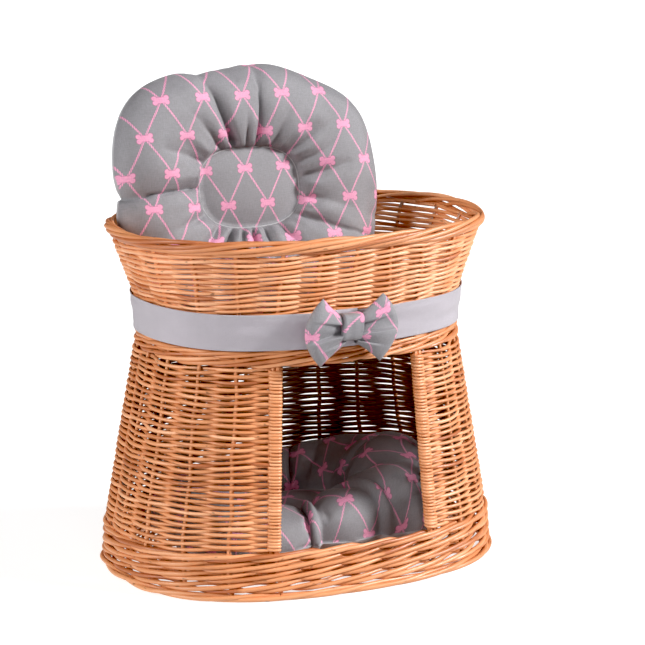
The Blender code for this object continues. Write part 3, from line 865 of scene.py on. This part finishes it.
# Folds: angle in degrees, depth, how far out they reach, how far they turn on the way. back_folds is
# the depth of the back's folds against the front's. Lumps: angle and width in degrees, and size.
UPPER_SHAPE = {
    "lean": math.pi / 2 - math.radians(12.0), "drop": 0.0, "follow": 0.28,
    "half": (0.180, 0.1635), "power": 3.0, "taper": 0.05, "front": 0.040, "back": 0.038,
    "panel_half": (0.0715, 0.0525), "panel_power": 2.7, "panel_centre": (-0.007, 0.006),
    "seam": 0.46, "crown": 0.62, "peak": 0.44, "seed": 0, "print_origin": (0.006, -0.025),
    "outline_lumps": ((48, 18, -0.013), (100, 14, -0.004), (138, 14, 0.005), (190, 44, 0.005)),
    "height_lumps": (), "back_folds": 0.7,
    "folds": (
        (109, 0.014, 1.00, 2), (77, 0.011, 0.85, 6), (177, 0.0135, 1.30, 5), (239, 0.013, 0.80, -4),
        (328, 0.007, 0.60, 8), (36, 0.006, 0.45, -6), (151, 0.008, 0.50, 8), (126, 0.005, 0.40, 5),
        (267, 0.009, 0.50, 4), (284, 0.008, 0.50, -5), (305, 0.006, 0.45, 5), (205, 0.006, 0.45, -6),
        (6, 0.005, 0.50, 6), (347, 0.005, 0.40, -4), (56, 0.005, 0.40, 5), (92, 0.006, 0.35, -4),
        (222, 0.007, 0.45, 4), (253, 0.006, 0.40, -4), (20, 0.004, 0.35, 5)),
}
LOWER_SHAPE = {
    "lean": 0.0, "drop": 0.0310, "follow": 1.0,
    "half": (0.190, 0.135), "power": 3.2, "taper": 0.0, "front": 0.062, "back": 0.015,
    "panel_half": (0.066, 0.046), "panel_power": 2.6, "panel_centre": (0.0, 0.0),
    "seam": 0.36, "crown": 0.45, "peak": 0.57, "seed": 100, "print_origin": (0.038, 0.042),
    "outline_lumps": ((34, 26, 0.004),),
    "height_lumps": ((243, 22, -0.42), (275, 14, -0.12), (318, 20, 0.12), (36, 24, 0.14), (-6, 26, 0.60),
                     (125, 30, -0.04)),
    "back_folds": 0.4,
    "folds": (
        (251, 0.016, 1.50, 2), (263, 0.015, 1.20, -3), (291, 0.014, 1.10, 6), (305, 0.013, 1.20, -3),
        (225, 0.010, 0.80, 5), (200, 0.008, 0.60, -5), (175, 0.008, 0.60, 6), (150, 0.008, 0.55, -5),
        (128, 0.009, 0.70, 4), (105, 0.011, 0.90, -4), (88, 0.009, 0.60, 5), (70, 0.009, 0.70, -5),
        (45, 0.008, 0.55, 5), (20, 0.008, 0.60, -4), (355, 0.008, 0.60, 5), (330, 0.008, 0.60, -5)),
}


def make_cushions():
    materials = (printed_cotton("printed_cotton"), plain_cotton("plain_grey_cotton", PLAIN_GREY),
                 plain_cotton("seam_thread", SEAM_GREY))
    for level, shape in (("upper", UPPER_SHAPE), ("lower", LOWER_SHAPE)):
        covers = [f"{level}_cushion_cover_front", f"{level}_cushion_cover_back"]
        c, s = math.cos(shape["lean"]), math.sin(shape["lean"])
        out = np.array((0.0, -s, c))
        axes = (centre_of(covers) - shape["drop"] * out, np.array((1.0, 0.0, 0.0)),
                np.array((0.0, c, s)), out)
        make_cushion(f"{level}_cushion_pillow", shape, axes, materials, f"{level}_cushion",
                     covers + [f"{level}_cushion_filling"])


# ---------------------------------------------------------------- ribbon and bow
RIBBON_OUT = 0.0080        # the ribbon's outer face lies on the weave's outermost rods
RIBBON_SKIN = 0.0010


def ring_shell(name, outer, inner, closed_round):
    """A thin closed shell from two grids of points, rows by columns."""
    rows, columns = outer.shape[:2]
    profile = np.concatenate((outer, inner[::-1]))
    index = np.arange(2 * rows * columns).reshape(2 * rows, columns)
    below = np.roll(index, -1, axis=0)
    if closed_round:
        quads = np.stack((index, np.roll(index, -1, axis=1), np.roll(below, -1, axis=1), below), axis=2)
        return new_mesh_object(name, profile.reshape(-1, 3), [quads.reshape(-1, 4)])
    quads = np.stack((index[:, :-1], index[:, 1:], below[:, 1:], below[:, :-1]), axis=2)
    ends = [index[:, 0][::-1][None], index[:, -1][None]]
    return new_mesh_object(name, profile.reshape(-1, 3), [quads.reshape(-1, 4)] + ends)


def strip(name, numbers, heights, out, closed_round=True):
    """A cloth band that lies along the side; heights and out are grids, rows by columns."""
    outer, inner = (np.array([side_point(numbers, z, o - depth) for z, o in zip(heights, out)])
                    for depth in (0.0, RIBBON_SKIN))
    obj = ring_shell(name, outer, inner, closed_round)
    step = spacing(float(heights.mean()))
    cloth = np.stack((np.broadcast_to(numbers * step, heights.shape), heights - heights.min(),
                      np.zeros_like(heights)), axis=2)
    add_attribute(obj, "cloth", np.concatenate((cloth, cloth[::-1])).reshape(-1, 3))
    return obj


def ridge(away, above, below):
    """A fold's height across the cloth, from 0 to 1, with its own width on either side."""
    return np.exp(-(away / np.where(away > 0, above, below)) ** 2)


def make_ribbon(material):
    number = all_round(20)
    share = np.concatenate((np.linspace(0, 0.06, 4), np.linspace(0.09, 0.91, 22),
                            np.linspace(0.94, 1, 4)))[:, None]
    bottom, height = low("waist_ribbon"), top("waist_ribbon") - low("waist_ribbon")
    turn = TAU * number / STAKES
    edge_drift = 0.0007 * np.sin(3 * turn + 0.6) + 0.0004 * np.sin(7 * turn + 2.0)
    heights = bottom + height * share + edge_drift
    folds = (np.sin(TAU * (1.35 * share + 0.22 * np.sin(2 * turn + 0.5)) + 0.4)
             * (0.55 + 0.45 * np.sin(3 * turn + 1.2))
             + 0.6 * np.sin(TAU * (2.3 * share - 0.3 * np.sin(3 * turn)) + 2.0)
             * (0.5 + 0.5 * np.sin(5 * turn)))
    inside = np.sin(np.pi * share) ** 0.7
    hem = 0.0004 * ((share < 0.075) | (share > 0.925))
    out = RIBBON_OUT + 0.0009 * folds * inside - 0.0004 * (1 - inside) + hem
    obj = strip("waist_ribbon_band", number, heights, out)
    piece(obj, material, "basket", ["waist_ribbon"])
    flat_length = STAKES * spacing(bottom + 0.5 * height) + TAU * RIBBON_OUT


def make_bow(material, strap_material):
    knot_lo, knot_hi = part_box("bow_knot")
    middle = 0.5 * (knot_lo.z + knot_hi.z)
    bow_x = 0.5 * (knot_lo.x + knot_hi.x)
    back = knot_hi.y - 0.0016
    lean = 0.10
    knot_half = 0.5 * (knot_hi.x - knot_lo.x)

    def set_back(x, depth, z):
        return np.stack((bow_x + x, back - lean * (z - middle) - depth, z), axis=-1)

    for name, side, tilt in (("left", -1.0, 0.05), ("right", 1.0, 0.03)):
        lo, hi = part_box(f"bow_loop_{name}")
        span = max(abs(lo.x - bow_x), abs(hi.x - bow_x)) - (0.005 if side < 0 else 0.001)
        tall = 0.5 * (hi.z - lo.z)
        t = np.linspace(0, 1, 44)[:, None]
        v = np.sin(np.linspace(-1, 1, 161) * math.pi / 2)[None, :]
        edge_x = span - 0.0225 * np.abs(v) ** 1.9
        start_x = knot_half * 0.55
        x = start_x + (edge_x - start_x) * t
        half = 0.0165 + (tall - 0.0165) * t
        curl = 0.0018 * np.sin(math.pi * t) * signed(v, 3)
        z = middle + half * v - curl + tilt * (x - knot_half) * 0.6
        round_end = np.sqrt(np.clip(1.0 - (np.clip(t - 0.84, 0, 1) / 0.165) ** 2, 0.0, 1.0))
        body = (0.0062 + 0.0070 * np.sin(math.pi * np.clip(0.12 + 0.80 * t, 0, 1)))
        thick = body * np.clip(1.0 - np.abs(v) ** 2.6, 0, 1) ** 0.5 * round_end + 0.0005
        fold_at = -0.02 + 0.04 * t if side > 0 else -0.10 - 0.18 * t
        loose = (1.0 - t) ** 0.45
        pleat = (0.0075 * loose * ridge(v - fold_at, 0.40, 0.045)
                 + 0.0028 * loose / (1.0 + np.exp(-(v - fold_at) / 0.015))
                 + 0.0075 * (1 - t) ** 1.2 * ridge(v - (0.42 - 0.10 * t), 0.05, 0.24)
                 + 0.0055 * (1 - t) ** 1.6 * ridge(v + 0.66 - 0.10 * t, 0.22, 0.05))
        swell = 0.0016 * np.sin(math.pi * t) * np.sin(3.2 * v + 2 * t + side)
        front = 0.0135 + thick - pleat + swell * (1 - v ** 2)
        rear = np.maximum(0.0135 - thick * 0.8, 0.0008)
        front = np.maximum(front, rear + 0.0008)
        rings = np.concatenate((set_back(side * x, front, z),
                                set_back(side * x, rear, z)[:, -2:0:-1]), axis=1)
        index = np.arange(rings.shape[0] * rings.shape[1]).reshape(rings.shape[:2])
        last, columns = index[-1], v.shape[1]
        rear_index = np.concatenate((last[:1], last[columns:][::-1], last[columns - 1:columns]))
        end = np.stack((last[:columns - 1], rear_index[:-1], rear_index[1:], last[1:columns]), axis=1)
        corners = [np.array(((last[0], rear_index[1], last[1]),)),
                   np.array(((last[columns - 2], rear_index[-2], last[columns - 1]),))]
        faces = [joined_quads(index), end[1:-1], *corners, index[0][::-1][None]]
        if side < 0:
            faces = [f[:, ::-1] for f in faces]
        obj = new_mesh_object(f"bow_{name}_loop_cloth", rings.reshape(-1, 3), faces)
        shift = (-0.041, -0.030) if side > 0 else (-0.056, 0.004)
        width = np.broadcast_to(0.046 * v, x.shape)
        flat = np.stack((x + shift[0], width + shift[1], 0 * x), axis=2)
        flat = np.concatenate((flat, flat[:, -2:0:-1]), axis=1)
        add_attribute(obj, "cloth", flat.reshape(-1, 3))
        piece(obj, material, "basket", [f"bow_loop_{name}"])

    x = np.linspace(-1, 1, 33)[:, None]
    turn = np.linspace(0, TAU, 73)[None, :-1]
    waist = 1.0 - 0.07 * (1 - x ** 2) + 0.02 * np.sin(2.5 * x + 1)
    end = np.clip(1.0 - np.abs(x) ** 9, 0.0, 1.0) ** 0.35
    crease = 0.0003 * np.sin(TAU * (0.9 * x + 0.10 * np.sin(turn)) + 0.7) * np.cos(0.5 * turn) ** 2
    half_tall, half_deep = 0.5 * (knot_hi.z - knot_lo.z), 0.0125

    def swollen(half):
        return half * waist * (0.75 + 0.25 * end) + crease

    deep = half_deep + 0.0012 + signed(np.cos(turn), 0.6) * swollen(half_deep)
    z = middle + 0.0055 + signed(np.sin(turn), 0.8) * swollen(half_tall)
    across = knot_half * 0.98 * x * np.ones_like(turn) + 0.0008 * np.sin(turn * 2)
    points = set_back(across, deep, z)
    index = np.arange(points.shape[0] * points.shape[1]).reshape(points.shape[:2])
    following = np.roll(index, -1, axis=1)
    quads = np.stack((index[:-1], following[:-1], following[1:], index[1:]), axis=2).reshape(-1, 4)
    knot = new_mesh_object("bow_knot_cloth", points.reshape(-1, 3),
                           [quads[:, ::-1], index[0][None], index[-1][::-1][None]])
    up_front = (turn + math.pi) % TAU - math.pi        # 0 in the middle of the front
    girth = np.stack((up_front * 0.013 - 0.0143 + 0 * x, across - 0.0135, 0 * across), axis=2)
    add_attribute(knot, "cloth", girth.reshape(-1, 3))
    piece(knot, material, "basket", ["bow_knot"])

    # band that ties the bow to the ribbon, seen above and below the knot
    door_middle = 0.5 * (SIDE_STEPS + STAKES) + bow_x / spacing(middle)
    half_steps = 0.0165 / spacing(middle)
    number = door_middle + np.linspace(-half_steps, half_steps, 18)
    share = np.linspace(0, 1, 30)[:, None]
    bottom, height = low("waist_ribbon") - 0.0012, top("waist_ribbon") - low("waist_ribbon") + 0.0024
    heights = bottom + height * share + 0 * number
    out = RIBBON_OUT + 0.0013 + 0.0005 * np.sin(TAU * 1.5 * share) + 0.0003 * np.cos(
        TAU * (number - door_middle) / half_steps)
    out = out - 0.0012 * np.abs(2 * share - 1) ** 12
    strap = strip("bow_tie_band", number, heights, out, closed_round=False)
    piece(strap, strap_material, "basket")


# ---------------------------------------------------------------- build
weave_material = willow("willow_weavers")
# the stakes and the cave's weavers carry painted shade on the side of each rod that faces the inside
stake_material = willow("willow_stakes", 1.05, inner_shade=0.6)
stick_material = willow("willow_sticks", 0.95, on_rods=False)
make_walls(willow("willow_cave_weavers", inner_shade=0.86), weave_material)
make_stakes(stake_material)
make_wales(weave_material)
make_borders(weave_material)
make_door_posts(weave_material)
make_floor("base", weave_material, stick_material)
make_floor("upper_floor", weave_material, stick_material)
make_cushions()
ribbon_material = plain_cotton("ribbon_satin", RIBBON, 0.55, 0.35)
make_ribbon(ribbon_material)
make_bow(printed_cotton("bow_printed_cotton"), ribbon_material)


# ---------------------------------------------------------------- stage, light and camera
# soft lights: name, azimuth and elevation they come from, softness in degrees, strength
SUNS = (("key", 56.0, 27.0, 16.0, 4.45),
        ("fill", -82.0, 18.0, 36.0, 2.2),
        ("front", -20.0, 46.0, 36.0, 0.5))
WHITE = (1.0, 1.0, 1.0, 1.0)
AMBIENT_ABOVE, AMBIENT_BELOW, BACKDROP = 0.14, 0.95, 1.0
BLACK_LEVEL = 0.022
CAMERA_AZIMUTH, CAMERA_ELEVATION = -26.4723, 12.4693
CAMERA_DISTANCE, CAMERA_LENS = 3.2952, 140.9
CAMERA_ASIDE, CAMERA_HEIGHT = 0.0334, 0.3092      # of the point that it looks at


def make_stage():
    size = 60.0
    points = np.array(((-size, -size, 0), (size, -size, 0), (size, size, 0), (-size, size, 0)), float)
    floor = new_mesh_object("studio_floor", points, [np.array(((0, 1, 2, 3),))], smooth=False)
    graph = Graph(bpy.data.materials.new("studio_paper"))
    graph.plug(Base_Color=(0.50, 0.50, 0.50, 1.0), Roughness=0.95, Specular_IOR_Level=0.0,
               Emission_Color=WHITE, Emission_Strength=0.75)
    floor.data.materials.append(graph.owner)
    floor.visible_diffuse = floor.visible_glossy = False


def toward(azimuth, elevation):
    a, e = math.radians(azimuth), math.radians(elevation)
    return Vector((math.sin(a) * math.cos(e), -math.cos(a) * math.cos(e), math.sin(e)))


def add_to_scene(name, data, place):
    obj = bpy.data.objects.new(name, data)
    obj.location = place
    bpy.context.scene.collection.objects.link(obj)
    return obj


def make_lights():
    """A white backdrop, a glow that comes mostly from low down, and soft suns."""
    world = bpy.data.worlds.new("studio")
    graph = Graph(world, "Background")
    upward = graph.parts(graph.node("ShaderNodeTexCoord").outputs["Generated"])["Z"]
    glow = graph.remap(upward, -0.35, 0.05, AMBIENT_BELOW, AMBIENT_ABOVE)
    seen = graph.node("ShaderNodeLightPath").outputs["Is Camera Ray"]
    graph.plug(Color=WHITE, Strength=graph.remap(seen, 0.0, 1.0, glow, BACKDROP))
    bpy.context.scene.world = world
    for name, azimuth, elevation, softness, strength in SUNS:
        light = bpy.data.lights.new(name, "SUN")
        light.energy = strength
        light.angle = math.radians(softness)
        way = toward(azimuth, elevation)
        add_to_scene(name, light, 3.0 * way).rotation_euler = way.to_track_quat("Z", "Y").to_euler()


def make_camera():
    camera = bpy.data.cameras.new("camera")
    camera.sensor_width = 36.0
    camera.lens = CAMERA_LENS
    camera.clip_end = 200.0
    back, aside = toward(CAMERA_AZIMUTH, CAMERA_ELEVATION), toward(CAMERA_AZIMUTH + 90.0, 0.0)
    target = Vector((0.0, 0.0, CAMERA_HEIGHT)) + CAMERA_ASIDE * aside
    obj = add_to_scene("camera", camera, target + CAMERA_DISTANCE * back)
    obj.rotation_mode = "QUATERNION"
    obj.rotation_quaternion = (-back).to_track_quat("-Z", "Y")
    bpy.context.scene.camera = obj


make_stage()
make_lights()
make_camera()
view = bpy.context.scene.view_settings
view.view_transform = "Standard"
view.use_curve_mapping = True
view.curve_mapping.black_level = (BLACK_LEVEL,) * 3
view.curve_mapping.update()
